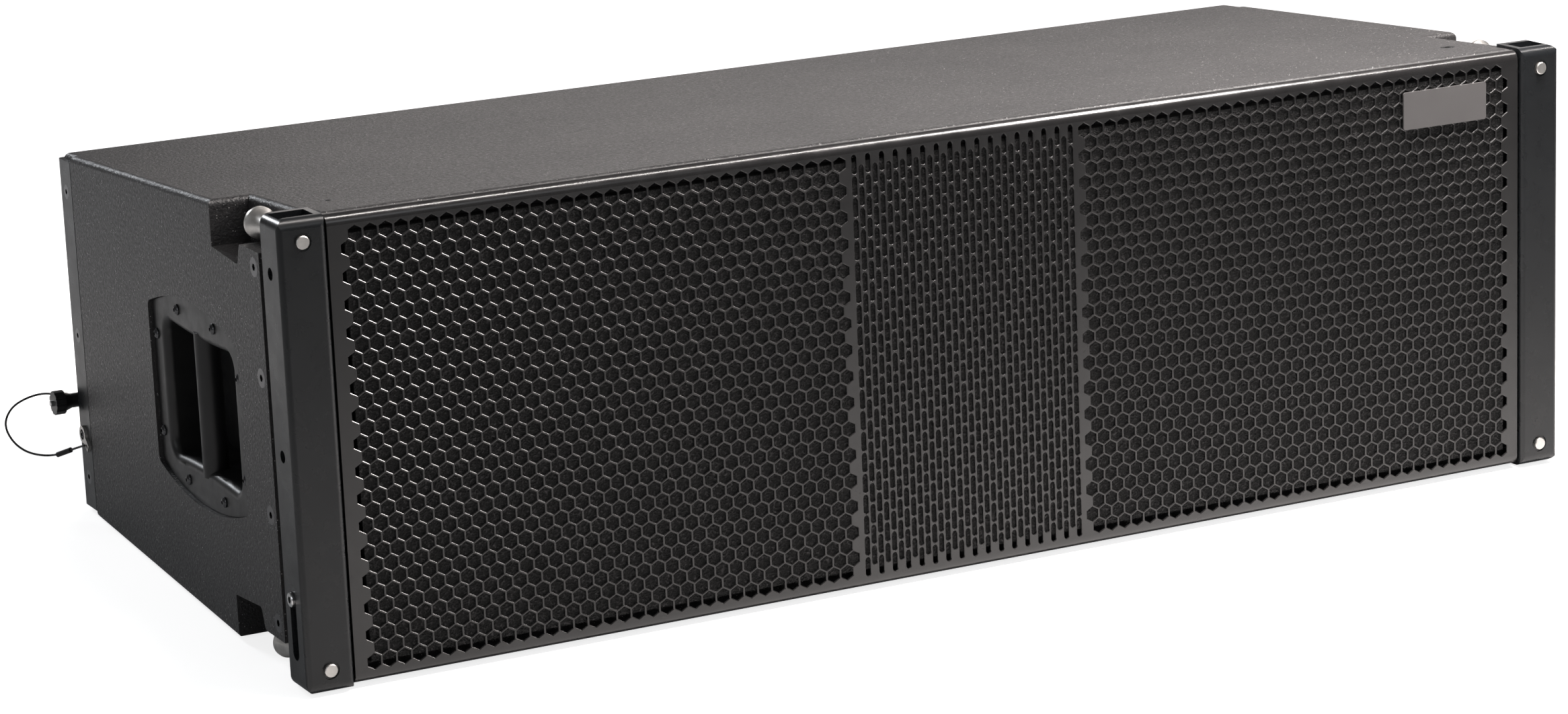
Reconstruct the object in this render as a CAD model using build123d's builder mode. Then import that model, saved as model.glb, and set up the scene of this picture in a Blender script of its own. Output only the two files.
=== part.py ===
from build123d import *
from math import cos, pi, sin, tan
import os

os.makedirs("parts", exist_ok=True)

# Line array loudspeaker element: a wedge-shaped plywood cabinet with two 12 inch woofers, a
# centre high-frequency waveguide, steel rigging posts at the front corners and steel rigging
# angles at the rear corners. Millimetres. X runs across the front, Y from front to rear, Z up.
# The origin is the centre of the footprint, on the surface that the front posts stand on.

# ---- Driving dimensions -------------------------------------------------------------------

WIDTH = 1130.0
FRONT_HEIGHT = 356.0
REAR_HEIGHT = 300.0
CABINET_DEPTH = 500.0
OVERALL_DEPTH = 540.0      # locking pin faces to rear ears, without the lanyards
PLY = 15.0
EDGE_ROUND = 5.0

PIN_PROUD = 2.0            # locking pin faces stand this far in front of the posts
POST_WIDTH = 37.0
POST_DEPTH = 35.0
POST_WALL = 5.0
POST_FRONT_WALL = 9.0
TOP_BEND = 8.0             # bends along the top and bottom of the posts' fronts and the grille
SEAM_DEPTH = 3.0           # groove behind each post, along the side panel
SEAM_END = 42.0

POCKET_WIDTH = 31.2        # corner pockets that give room to pull the locking pins
POCKET_END = 142.0
POCKET_STEP = 82.0
POCKET_SILL = 147.5        # height of the pocket floor beside the post, from mid-height
POCKET_FLOOR = 131.0

LOCK_HEIGHT = 160.4        # locking pin axes above and below mid-height
LOCK_RADIUS = 5.0
KNOB_RADIUS = 12.2
LOCK_TRAVEL = 27.5
LINK_TRAVEL = 41.0
GUIDE_HEIGHT = -108.0
RUNNING = 0.05

GRILLE_FACE = 3.5
GRILLE_HALF_WIDTH = 526.0
GRILLE_HALF_HEIGHT = 176.5
GRILLE_SHEET = 1.5
GRILLE_FLANGE = 11.5
FOAM_BACK = 17.5
LID_FRONT = 13.0           # front edges of the top and bottom panels
BAFFLE_FRONT = 36.0

WOOFER_X = 310.0
WOOFER_HOLE = 142.0
SPIDER_DEPTH = 64.0
DIVIDER_X = 105.0

HANDLE_Y = 201.5
HANDLE_HALF_LENGTH = 98.5
RECESS = 5.5               # routed recess round each handle
HANDLE_PLATE = 2.0
CUP_DEPTH = 45.0
GRIP_RADIUS = 10.0

STEEL = 4.0
ANGLE_START = 471.2
ANGLE_HALF_HEIGHT = 146.0
EAR_INNER = 524.0
EAR_OUTER = 547.0
EAR_AXIS = 518.0           # rear pivot and quick-release pin axes, behind the post faces
PIVOT_HEIGHT = 106.0
QUICK_HEIGHT = -62.0
ARM_REACH = 138.0

WIRE_RADIUS = 0.9
LOOP_REACH = 560.0         # rearmost run of the lanyards, behind the post faces

# ---- Places worked out from them ----------------------------------------------------------

HALF = WIDTH / 2
MID = FRONT_HEIGHT / 2
FRONT = PIN_PROUD - OVERALL_DEPTH / 2
WOOD_BACK = CABINET_DEPTH - STEEL
POST_X = HALF - POST_WIDTH / 2
SLOPE = (FRONT_HEIGHT - REAR_HEIGHT) / 2 / CABINET_DEPTH
POCKET_X = HALF - POCKET_WIDTH
SIDES = (("left", -1), ("right", 1))
ENDS = (("top", 1), ("bottom", -1))
HANDLE_FACE = HALF - RECESS + HANDLE_PLATE
POST_SCREW_Y = 54.0
POST_SCREW_HEIGHTS = (-135.0, -52.0, 52.0, 135.0)
ANGLE_SCREW_Y = 485.0
ANGLE_SCREW_HEIGHTS = (-120.0, 0.0, 120.0)
HANDLE_SCREWS = [(a * 90.5, b * 39.0) for a in (-1, 1) for b in (-1, 1)]
HANDLE_SCREWS += [(a * 39.5, b * 67.5) for a in (-1, 1) for b in (-1, 1)]
LID_SCREW_X = 500.0
LID_SCREW_Y = 65.0
WOOFER_BOLT_CIRCLE = 150.0
INPUT_Z = MID - 20.0
SOCKET_X = 38.0


def save(builder, name):
    """Label a finished piece and write it to its own file."""
    builder.part.label = name
    export_step(builder.part, f"parts/{name}.step")


def half_height(y):
    """Height of the cabinet above its mid-plane, y behind the post faces."""
    return MID - SLOPE * y


def facing_side(s, x, y, z):
    """Plane on a side wall: y behind the post faces, z from mid-height, looking outward."""
    return Plane(origin=(s * x, FRONT + y, MID + z), x_dir=(0, s, 0), z_dir=(s, 0, 0))


def facing_front(x, y, z):
    """Plane across the cabinet, looking forward."""
    return Plane(origin=(x, FRONT + y, MID + z), x_dir=(1, 0, 0), z_dir=(0, -1, 0))


def wedge_outline(y0, y1, inset):
    """Corners of the cabinet's side outline between two depths, moved in by a panel."""
    a = half_height(y0) - inset
    b = half_height(y1) - inset
    return [
        (FRONT + y0, MID - a),
        (FRONT + y1, MID - b),
        (FRONT + y1, MID + b),
        (FRONT + y0, MID + a),
    ]


def pocket_outline(e, x0_margin):
    """Side outline of a corner pocket, open outward past the cabinet's top or bottom."""
    start = POST_DEPTH - x0_margin
    return [
        (FRONT + start, MID + e * POCKET_SILL),
        (FRONT + POCKET_STEP, MID + e * POCKET_SILL),
        (FRONT + POCKET_STEP + 6, MID + e * POCKET_FLOOR),
        (FRONT + POCKET_END, MID + e * (POCKET_FLOOR + 4)),
        (FRONT + POCKET_END, MID + e * (MID + 20)),
        (FRONT + start, MID + e * (MID + 20)),
    ]


# ---- Fasteners, made once and placed where each kind is used --------------------------------

with BuildPart() as m8_countersunk:
    with BuildSketch(Plane.XZ):
        with BuildLine():
            Polyline((0, 0), (7.4, 0), (4, -3.6), (4, -14), (0, -14), close=True)
        make_face()
    revolve(axis=Axis.Z)
    with BuildSketch():
        RegularPolygon(radius=2.9, side_count=6)
    extrude(amount=-3, mode=Mode.SUBTRACT)

with BuildPart() as m6_countersunk:
    with BuildSketch(Plane.XZ):
        with BuildLine():
            Polyline((0, 0), (6, 0), (3, -3.2), (3, -13), (0, -13), close=True)
        make_face()
    revolve(axis=Axis.Z)
    with BuildSketch():
        RegularPolygon(radius=2.3, side_count=6)
    extrude(amount=-2.5, mode=Mode.SUBTRACT)

with BuildPart() as pan_head:
    with BuildSketch(Plane.XZ):
        with BuildLine():
            Polyline((0, 2.8), (0, -10), (2, -10), (2, 0), (4.3, 0), (4.3, 0.9))
            ThreePointArc((4.3, 0.9), (2.6, 2.3), (0, 2.8))
        make_face()
    revolve(axis=Axis.Z)
    with BuildSketch(Plane.XY.offset(3.2)):
        RegularPolygon(radius=1.6, side_count=6)
    extrude(amount=-2.2, mode=Mode.SUBTRACT)


def countersink(radius, head, depth):
    """Drill a countersunk hole of this depth at each current location, along its -Z."""
    CounterSinkHole(radius=radius, counter_sink_radius=head, depth=depth)


# Where each group of screws sits
post_screw_planes = [
    facing_side(s, HALF, POST_SCREW_Y, z) for _, s in SIDES for z in POST_SCREW_HEIGHTS
]
angle_screw_planes = [
    facing_side(s, HALF, ANGLE_SCREW_Y, z) for _, s in SIDES for z in ANGLE_SCREW_HEIGHTS
]
lid_screw_planes = [
    Plane(
        origin=(s * LID_SCREW_X, FRONT + LID_SCREW_Y, MID + e * half_height(LID_SCREW_Y)),
        z_dir=(0, SLOPE, e),
    )
    for _, s in SIDES
    for _, e in ENDS
]
handle_screw_planes = [
    facing_side(s, HANDLE_FACE, HANDLE_Y + a, b) for _, s in SIDES for a, b in HANDLE_SCREWS
]
lug_screw_planes = [facing_side(s, HALF, 487.0, -84.0) for _, s in SIDES]
woofer_screw_planes = [
    facing_front(
        s * WOOFER_X + WOOFER_BOLT_CIRCLE * cos(pi / 8 + k * pi / 4),
        BAFFLE_FRONT - 8,
        WOOFER_BOLT_CIRCLE * sin(pi / 8 + k * pi / 4),
    )
    for _, s in SIDES
    for k in range(8)
]
input_screw_planes = [
    Plane(origin=(a * 88, FRONT + WOOD_BACK + 3, INPUT_Z + b * 42), z_dir=(0, 1, 0))
    for a in (-1, 1)
    for b in (-1, 1)
]

with BuildPart() as post_screws:
    with Locations(*post_screw_planes):
        add(m8_countersunk.part)
save(post_screws, "post_screws")

with BuildPart() as angle_and_lid_screws:
    with Locations(*angle_screw_planes, *lid_screw_planes):
        add(m6_countersunk.part)
save(angle_and_lid_screws, "angle_and_lid_screws")

with BuildPart() as pan_head_screws:
    with Locations(
        *handle_screw_planes, *lug_screw_planes, *woofer_screw_planes, *input_screw_planes
    ):
        add(pan_head.part)
save(pan_head_screws, "pan_head_screws")

# ---- Plywood cabinet ----------------------------------------------------------------------

# Top and bottom panels: sloped boards, cut away at the corners for the posts, the pin pockets
# and the rear angles
for end, e in ENDS:
    with BuildPart() as lid:
        with BuildSketch(Plane.YZ):
            with BuildLine():
                Polyline(
                    (FRONT + LID_FRONT, MID + e * half_height(LID_FRONT)),
                    (FRONT + WOOD_BACK, MID + e * half_height(WOOD_BACK)),
                    (FRONT + WOOD_BACK, MID + e * (half_height(WOOD_BACK) - PLY)),
                    (FRONT + LID_FRONT, MID + e * (half_height(LID_FRONT) - PLY)),
                    close=True,
                )
            make_face()
        extrude(amount=HALF, both=True)
        with BuildSketch():
            for _, s in SIDES:
                with Locations((s * HALF, FRONT + POST_DEPTH / 2)):
                    Rectangle(2 * POST_WIDTH, POST_DEPTH)
                with Locations((s * HALF, FRONT + POCKET_END / 2)):
                    Rectangle(2 * POCKET_WIDTH, POCKET_END)
                with Locations((s * HALF, FRONT + CABINET_DEPTH)):
                    Rectangle(2 * STEEL, 2 * (CABINET_DEPTH - ANGLE_START + 1.2))
        extrude(amount=FRONT_HEIGHT, mode=Mode.SUBTRACT)
        outer = lid.faces().filter_by(lambda f: e * f.normal_at().Z > 0.9)
        fillet(outer.edges(), radius=EDGE_ROUND)
        with Locations(*[p for p in lid_screw_planes if e * p.z_dir.Z > 0]):
            countersink(3.1, 6.1, 14.0)
    save(lid, f"{end}_panel")

# Side panels: the outer board, with the corner pockets' liners glued behind it
for side, s in SIDES:
    with BuildPart() as side_panel:
        with BuildSketch(Plane.YZ.offset(s * HALF)):
            with BuildLine():
                Polyline(*wedge_outline(POST_DEPTH, WOOD_BACK, PLY), close=True)
            make_face()
        extrude(amount=-s * PLY)
        for _, e in ENDS:
            with BuildSketch(Plane.YZ.offset(s * (HALF - PLY))):
                with BuildLine():
                    Polyline(
                        (FRONT + BAFFLE_FRONT, MID + e * (POCKET_FLOOR - PLY)),
                        (FRONT + POCKET_END + PLY, MID + e * (POCKET_FLOOR - PLY)),
                        (
                            FRONT + POCKET_END + PLY,
                            MID + e * (half_height(POCKET_END + PLY) - PLY),
                        ),
                        (FRONT + BAFFLE_FRONT, MID + e * (half_height(BAFFLE_FRONT) - PLY)),
                        close=True,
                    )
                make_face()
            extrude(amount=-s * POCKET_WIDTH)
            with BuildSketch(Plane.YZ.offset(s * (HALF + 1))):
                with BuildLine():
                    Polyline(*pocket_outline(e, 5), close=True)
                make_face()
                fillet(vertices().sort_by(Axis.X)[2:4], radius=4)
            extrude(amount=-s * (POCKET_WIDTH + 1), mode=Mode.SUBTRACT)
        # The seam behind the post, and the rebate for the rear steel angle
        with BuildSketch(Plane.YZ.offset(s * HALF)):
            with Locations((FRONT + SEAM_END, MID)):
                Rectangle(2 * (SEAM_END - POST_DEPTH), FRONT_HEIGHT, align=(Align.MAX, Align.CENTER))
        extrude(amount=-s * SEAM_DEPTH, mode=Mode.SUBTRACT)
        with BuildSketch(Plane.YZ.offset(s * HALF)):
            with Locations((FRONT + ANGLE_START - 1.2, MID)):
                Rectangle(60, FRONT_HEIGHT, align=(Align.MIN, Align.CENTER))
        extrude(amount=-s * STEEL, mode=Mode.SUBTRACT)
        # The handle's routed recess, with bowed top and bottom, and its opening
        with BuildSketch(Plane.YZ.offset(s * HALF)):
            with BuildLine():
                handle_left = FRONT + HANDLE_Y - HANDLE_HALF_LENGTH
                handle_right = FRONT + HANDLE_Y + HANDLE_HALF_LENGTH
                handle_middle = FRONT + HANDLE_Y
                ThreePointArc(
                    (handle_left, MID + 64), (handle_middle, MID + 81), (handle_right, MID + 64)
                )
                Line((handle_right, MID + 64), (handle_right, MID - 64))
                ThreePointArc(
                    (handle_right, MID - 64), (handle_middle, MID - 81), (handle_left, MID - 64)
                )
                Line((handle_left, MID - 64), (handle_left, MID + 64))
            make_face()
            fillet(vertices(), radius=7)
        extrude(amount=-s * RECESS, mode=Mode.SUBTRACT)
        with BuildSketch(Plane.YZ.offset(s * HALF)):
            with Locations((FRONT + HANDLE_Y, MID)):
                RectangleRounded(174, 128, 16)
        extrude(amount=-s * (PLY + 1), mode=Mode.SUBTRACT)
        mine = [p for p in handle_screw_planes if p.z_dir.X * s > 0]
        with Locations(*mine):
            Hole(radius=2.1, depth=12)
        with Locations(*[p for p in post_screw_planes if p.z_dir.X * s > 0]):
            countersink(4.1, 7.5, 15.0)
        with Locations(*[p for p in angle_screw_planes if p.z_dir.X * s > 0]):
            Hole(radius=3.1, depth=14)
        with Locations(*[p for p in lug_screw_planes if p.z_dir.X * s > 0]):
            Hole(radius=2.1, depth=11)
    save(side_panel, f"{side}_side_panel")

# Rear panel with the two socket holes
with BuildPart() as rear_panel:
    with BuildSketch(Plane.YZ):
        with BuildLine():
            Polyline(*wedge_outline(WOOD_BACK - PLY, WOOD_BACK, PLY), close=True)
        make_face()
    extrude(amount=HALF - PLY, both=True)
    with Locations(
        *[
            Plane(origin=(a * SOCKET_X, FRONT + WOOD_BACK, INPUT_Z), z_dir=(0, 1, 0))
            for a in (-1, 1)
        ]
    ):
        Hole(radius=16.5)
    with Locations(*input_screw_planes):
        Hole(radius=2.1, depth=12)
save(rear_panel, "rear_panel")

# Front baffle: woofer and waveguide openings, and the battens that the grille is fixed to
with BuildPart() as front_baffle:
    with BuildSketch(Plane.YZ):
        with BuildLine():
            Polyline(*wedge_outline(BAFFLE_FRONT, BAFFLE_FRONT + PLY, PLY), close=True)
        make_face()
    extrude(amount=POCKET_X - PLY, both=True)
    with BuildSketch(facing_front(0, BAFFLE_FRONT + PLY, 0)):
        Rectangle(2 * (HALF - PLY), 2 * (POCKET_FLOOR - PLY))
    extrude(amount=PLY)
    with BuildSketch(facing_front(0, BAFFLE_FRONT, 0)):
        for s in (-1, 1):
            with Locations((s * (POCKET_X - PLY - 3), 0)):
                Rectangle(6, 300)
    extrude(amount=BAFFLE_FRONT - GRILLE_FLANGE)
    with BuildSketch(facing_front(0, BAFFLE_FRONT + PLY, 0)):
        with Locations((-WOOFER_X, 0), (WOOFER_X, 0)):
            Circle(WOOFER_HOLE)
        Rectangle(188, 302)
    extrude(amount=PLY, mode=Mode.SUBTRACT)
    with Locations(*woofer_screw_planes):
        Hole(radius=2.1, depth=19)
save(front_baffle, "front_baffle")

# Dividers between the woofer chambers and the high-frequency chamber
with BuildPart() as dividers:
    for _, s in SIDES:
        with BuildSketch(Plane.YZ.offset(s * DIVIDER_X)):
            with BuildLine():
                Polyline(
                    *wedge_outline(BAFFLE_FRONT + PLY, WOOD_BACK - PLY, PLY), close=True
                )
            make_face()
        extrude(amount=s * PLY)
save(dividers, "dividers")

# ---- Grille, foam and badge -----------------------------------------------------------------

with BuildPart() as grille:
    # A shallow pan: bent over along its top and bottom, closed at both ends
    for inset, mode in ((0.0, Mode.ADD), (GRILLE_SHEET, Mode.SUBTRACT)):
        with BuildSketch(Plane.YZ):
            with Locations((FRONT + (GRILLE_FACE + inset + GRILLE_FLANGE) / 2, MID)):
                Rectangle(GRILLE_FLANGE - GRILLE_FACE - inset, 2 * (GRILLE_HALF_HEIGHT - inset))
            fillet(vertices().group_by(Axis.X)[0], radius=TOP_BEND - inset - 0.05)
        extrude(amount=GRILLE_HALF_WIDTH - inset, both=True, mode=mode)
save(grille, "grille")

with BuildPart() as grille_foam:
    with BuildSketch(facing_front(0, FOAM_BACK, 0)):
        Rectangle(2 * (POCKET_X - PLY - 6.5), 2 * 161.5)
    extrude(amount=FOAM_BACK - GRILLE_FACE - GRILLE_SHEET)
save(grille_foam, "grille_foam")

with BuildPart() as badge_plate:
    with BuildSketch(facing_front(452, GRILLE_FACE, 139.5)):
        RectangleRounded(82, 31, 2)
    extrude(amount=1.5)
save(badge_plate, "badge_plate")

# ---- Woofers --------------------------------------------------------------------------------

for side, s in SIDES:
    # Profiles are drawn as (radius, depth behind the baffle's front) and turned about the
    # woofer's axis
    axis_plane = Plane(
        origin=(s * WOOFER_X, FRONT + BAFFLE_FRONT, MID), x_dir=(1, 0, 0), z_dir=(0, 0, 1)
    )
    cone_axis = Axis((s * WOOFER_X, FRONT + BAFFLE_FRONT, MID), (0, 1, 0))
    ring_plane = facing_front(s * WOOFER_X, BAFFLE_FRONT, 0)

    with BuildPart() as basket:
        with BuildSketch(axis_plane):
            with BuildLine():
                Polyline(
                    (156, -8), (156, 0), (141, 0), (100, 89), (100, 93), (70, 93),
                    (70, 88), (94, 88), (134.5, 1), (134.5, -3.5), (143.5, -3.5), (143.5, -8),
                    close=True,
                )
            make_face()
        revolve(axis=cone_axis)
        with BuildSketch(ring_plane.offset(-58)):
            with PolarLocations(118, 6):
                RectangleRounded(60, 66, 8)
        extrude(amount=50, mode=Mode.SUBTRACT)
        with BuildSketch(ring_plane.offset(-85)):
            with PolarLocations(102, 6):
                RectangleRounded(40, 52, 6)
        extrude(amount=13, mode=Mode.SUBTRACT)
        with BuildSketch(axis_plane):
            with BuildLine():
                Polyline((97, 64.8), (108.5, 64.8), (106.5, 69), (97, 69), close=True)
            make_face()
        revolve(axis=cone_axis)
        with Locations(*[p for p in woofer_screw_planes if p.origin.X * s > 0]):
            Hole(radius=2.1, depth=9)
    save(basket, f"{side}_woofer_basket")

    with BuildPart() as magnet:
        with BuildSketch(axis_plane):
            with BuildLine():
                Polyline(
                    (12, 92), (36.5, 92), (36.5, 127), (55, 127), (55, 101), (41, 101),
                    (41, 93), (90, 93), (90, 101), (95, 101), (95, 127), (92, 127),
                    (92, 135), (12, 135), close=True,
                )
            make_face()
        revolve(axis=cone_axis)
    save(magnet, f"{side}_woofer_magnet")

    with BuildPart() as cone:
        with BuildSketch(axis_plane):
            with BuildLine():
                TangentArc((0, 45), (41, 55), tangent=(1, 0))
                ThreePointArc((41, 55), (80, 24.6), (118, 3.5))
                Line((118, 3.5), (119.5, 3.5))
                Line((119.5, 3.5), (119.5, 5))
                ThreePointArc((119.5, 5), (81, 26.4), (42, 57))
                Polyline((42, 57), (38.8, 60), (38.8, 115), (38, 115), (38, 56))
                TangentArc((0, 46.4), (38, 56), tangent=(1, 0))
                Line((0, 46.4), (0, 45))
            make_face()
        revolve(axis=cone_axis)
    save(cone, f"{side}_woofer_cone")

    with BuildPart() as surround:
        with BuildSketch(axis_plane):
            with BuildLine():
                Line((118.5, 3.2), (118.5, -3.5))
                ThreePointArc((118.5, -3.5), (126.5, -11.5), (134.5, -3.5 - 1))
                Polyline((134.5, -4.5), (143, -4.5), (143, -3.5), (133.5, -3.5))
                ThreePointArc((133.5, -3.5), (126.5, -10.5), (119.5, -3.5))
                Polyline((119.5, -3.5), (119.5, 3.2), (118.5, 3.2))
            make_face()
        revolve(axis=cone_axis)
    save(surround, f"{side}_woofer_surround")

    with BuildPart() as spider:
        with BuildSketch(axis_plane):
            with BuildLine():
                for k in range(6):
                    wave = 1.8 * (-1) ** k
                    start = 42.0 + 9 * k
                    for lift in (0.0, 0.8):
                        ThreePointArc(
                            (start, SPIDER_DEPTH + lift),
                            (start + 4.5, SPIDER_DEPTH + lift + wave),
                            (start + 9, SPIDER_DEPTH + lift),
                        )
                for lift in (0.0, 0.8):
                    Line((39.1, SPIDER_DEPTH + lift), (42, SPIDER_DEPTH + lift))
                    Line((96, SPIDER_DEPTH + lift), (104, SPIDER_DEPTH + lift))
                Line((39.1, SPIDER_DEPTH), (39.1, SPIDER_DEPTH + 0.8))
                Line((104, SPIDER_DEPTH), (104, SPIDER_DEPTH + 0.8))
            make_face()
        revolve(axis=cone_axis)
    save(spider, f"{side}_woofer_spider")

# ---- High-frequency waveguide and drivers ---------------------------------------------------

HORN_DEPTH = 96.0
THROAT_BLOCK = 24.0
DRIVER_HEIGHT = 79.0

with BuildPart() as hf_waveguide:
    with BuildSketch(Plane.XY.offset(MID - 150)):
        with BuildLine():
            ThreePointArc(
                (-92, FRONT + BAFFLE_FRONT),
                (-34, FRONT + BAFFLE_FRONT + 52),
                (-16, FRONT + BAFFLE_FRONT + HORN_DEPTH),
            )
            Line(
                (-16, FRONT + BAFFLE_FRONT + HORN_DEPTH), (16, FRONT + BAFFLE_FRONT + HORN_DEPTH)
            )
            ThreePointArc(
                (16, FRONT + BAFFLE_FRONT + HORN_DEPTH),
                (34, FRONT + BAFFLE_FRONT + 52),
                (92, FRONT + BAFFLE_FRONT),
            )
            Line((92, FRONT + BAFFLE_FRONT), (-92, FRONT + BAFFLE_FRONT))
        make_face()
    extrude(amount=300)
    with BuildSketch(facing_front(0, BAFFLE_FRONT, 0)):
        Rectangle(200, 316)
    extrude(amount=4)
    with BuildSketch(facing_front(0, BAFFLE_FRONT + HORN_DEPTH + THROAT_BLOCK, 0)):
        Rectangle(80, 300)
    extrude(amount=THROAT_BLOCK)
    with BuildSketch(Plane.XY.offset(MID - 146)):
        with BuildLine():
            ThreePointArc(
                (-90, FRONT + BAFFLE_FRONT - 5),
                (-31, FRONT + BAFFLE_FRONT + 48),
                (-12, FRONT + BAFFLE_FRONT + HORN_DEPTH),
            )
            Line(
                (-12, FRONT + BAFFLE_FRONT + HORN_DEPTH), (12, FRONT + BAFFLE_FRONT + HORN_DEPTH)
            )
            ThreePointArc(
                (12, FRONT + BAFFLE_FRONT + HORN_DEPTH),
                (31, FRONT + BAFFLE_FRONT + 48),
                (90, FRONT + BAFFLE_FRONT - 5),
            )
            Line((90, FRONT + BAFFLE_FRONT - 5), (-90, FRONT + BAFFLE_FRONT - 5))
        make_face()
    extrude(amount=292, mode=Mode.SUBTRACT)
    with BuildSketch(facing_front(0, BAFFLE_FRONT + HORN_DEPTH + THROAT_BLOCK, 0)):
        with Locations((0, -DRIVER_HEIGHT), (0, DRIVER_HEIGHT)):
            Circle(18)
    extrude(amount=THROAT_BLOCK + 2, mode=Mode.SUBTRACT)
save(hf_waveguide, "hf_waveguide")

with BuildPart() as hf_drivers:
    for _, e in ENDS:
        driver_start = FRONT + BAFFLE_FRONT + HORN_DEPTH + THROAT_BLOCK
        driver_origin = (0, driver_start, MID + e * DRIVER_HEIGHT)
        with BuildSketch(Plane(origin=driver_origin, x_dir=(1, 0, 0), z_dir=(0, 0, 1))):
            with BuildLine():
                Polyline(
                    (0, 12), (18, 12), (18, 0), (50, 0), (50, 8), (68, 8), (68, 40),
                    (58, 48), (58, 62), (0, 62), close=True,
                )
            make_face()
        revolve(axis=Axis(driver_origin, (0, 1, 0)))
save(hf_drivers, "hf_drivers")

# ---- Crossover and input plate --------------------------------------------------------------

with BuildPart() as crossover_board:
    board_plane = Plane.YZ.offset(-DIVIDER_X)
    with BuildSketch(board_plane):
        with Locations((FRONT + 380, MID)):
            with GridLocations(110, 120, 2, 2):
                Circle(5)
    extrude(amount=8)
    with BuildSketch(board_plane.offset(8)):
        with Locations((FRONT + 380, MID)):
            Rectangle(130, 150)
    extrude(amount=2)
    with BuildSketch(board_plane.offset(10)):
        with Locations((FRONT + 350, MID + 35), (FRONT + 350, MID - 35)):
            Circle(26)
            Circle(12, mode=Mode.SUBTRACT)
    extrude(amount=30)
    with BuildSketch(board_plane.offset(10)):
        with Locations((FRONT + 405, MID)):
            with GridLocations(0, 32, 1, 4):
                RectangleRounded(36, 24, 4)
    extrude(amount=22)
save(crossover_board, "crossover_board")

with BuildPart() as input_plate:
    with BuildSketch(
        Plane(origin=(0, FRONT + WOOD_BACK, INPUT_Z), x_dir=(-1, 0, 0), z_dir=(0, 1, 0))
    ):
        RectangleRounded(200, 110, 8)
        with Locations((-SOCKET_X, 0), (SOCKET_X, 0)):
            Circle(15.6, mode=Mode.SUBTRACT)
        with GridLocations(176, 84, 2, 2):
            Circle(2.1, mode=Mode.SUBTRACT)
    extrude(amount=3)
save(input_plate, "input_plate")

with BuildPart() as input_sockets:
    for _, s in SIDES:
        socket_plane = Plane(
            origin=(s * SOCKET_X, FRONT + WOOD_BACK + 3, INPUT_Z),
            x_dir=(-1, 0, 0),
            z_dir=(0, 1, 0),
        )
        with BuildSketch(socket_plane):
            RectangleRounded(38, 38, 5)
        extrude(amount=2.5)
        with BuildSketch(socket_plane):
            Circle(15.5)
        extrude(amount=-34)
        with BuildSketch(socket_plane.offset(2.5)):
            Circle(12.5)
            with PolarLocations(12.5, 2):
                Rectangle(3, 4)
        extrude(amount=-24.5, mode=Mode.SUBTRACT)
save(input_sockets, "input_sockets")

# ---- Handles --------------------------------------------------------------------------------

for side, s in SIDES:
    grip_plane = Plane(
        origin=(s * 553, FRONT + HANDLE_Y, MID - 57), x_dir=(1, 0, 0), z_dir=(0, 0, 1)
    )
    with BuildPart() as handle_cup:
        # Flange plate, 0.4 mm inside the routed recess
        with BuildSketch(Plane.YZ.offset(s * HANDLE_FACE)):
            with BuildLine():
                flange_left = FRONT + HANDLE_Y - HANDLE_HALF_LENGTH + 0.4
                flange_right = FRONT + HANDLE_Y + HANDLE_HALF_LENGTH - 0.4
                flange_middle = FRONT + HANDLE_Y
                ThreePointArc(
                    (flange_left, MID + 63.6), (flange_middle, MID + 80.6),
                    (flange_right, MID + 63.6),
                )
                Line((flange_right, MID + 63.6), (flange_right, MID - 63.6))
                ThreePointArc(
                    (flange_right, MID - 63.6), (flange_middle, MID - 80.6),
                    (flange_left, MID - 63.6),
                )
                Line((flange_left, MID - 63.6), (flange_left, MID + 63.6))
            make_face()
            fillet(vertices(), radius=7)
        extrude(amount=-s * HANDLE_PLATE)
        with BuildSketch(Plane.YZ.offset(s * HANDLE_FACE)):
            with Locations((FRONT + HANDLE_Y, MID)):
                RectangleRounded(172, 126, 15)
        extrude(amount=-s * (CUP_DEPTH + 3))
        # The cup's throat, waisted at the middle of its top and bottom
        with BuildSketch(Plane.YZ.offset(s * HANDLE_FACE)):
            with BuildLine():
                throat_left = FRONT + HANDLE_Y - 76
                throat_right = FRONT + HANDLE_Y + 74
                ThreePointArc(
                    (throat_left, MID + 54), (FRONT + HANDLE_Y, MID + 51),
                    (throat_right, MID + 54),
                )
                Line((throat_right, MID + 54), (throat_right, MID - 54))
                ThreePointArc(
                    (throat_right, MID - 54), (FRONT + HANDLE_Y, MID - 51),
                    (throat_left, MID - 54),
                )
                Line((throat_left, MID - 54), (throat_left, MID + 54))
            make_face()
            fillet(vertices(), radius=12)
        extrude(amount=-s * CUP_DEPTH, mode=Mode.SUBTRACT)
        lip = handle_cup.faces().filter_by(Axis.X).sort_by(Axis.X)[-1 if s > 0 else 0]
        fillet(lip.inner_wires()[0].edges(), radius=6.5)
        with BuildSketch(grip_plane):
            Circle(GRIP_RADIUS)
        extrude(amount=114, mode=Mode.SUBTRACT)
        with Locations(*[p for p in handle_screw_planes if p.z_dir.X * s > 0]):
            Hole(radius=2.1, depth=HANDLE_PLATE + 0.5)
    save(handle_cup, f"{side}_handle_cup")

    with BuildPart() as handle_grip:
        with BuildSketch(grip_plane):
            Circle(GRIP_RADIUS)
        extrude(amount=114)
    save(handle_grip, f"{side}_handle_grip")

# ---- Front rigging: posts, links and locking pins -------------------------------------------

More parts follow.
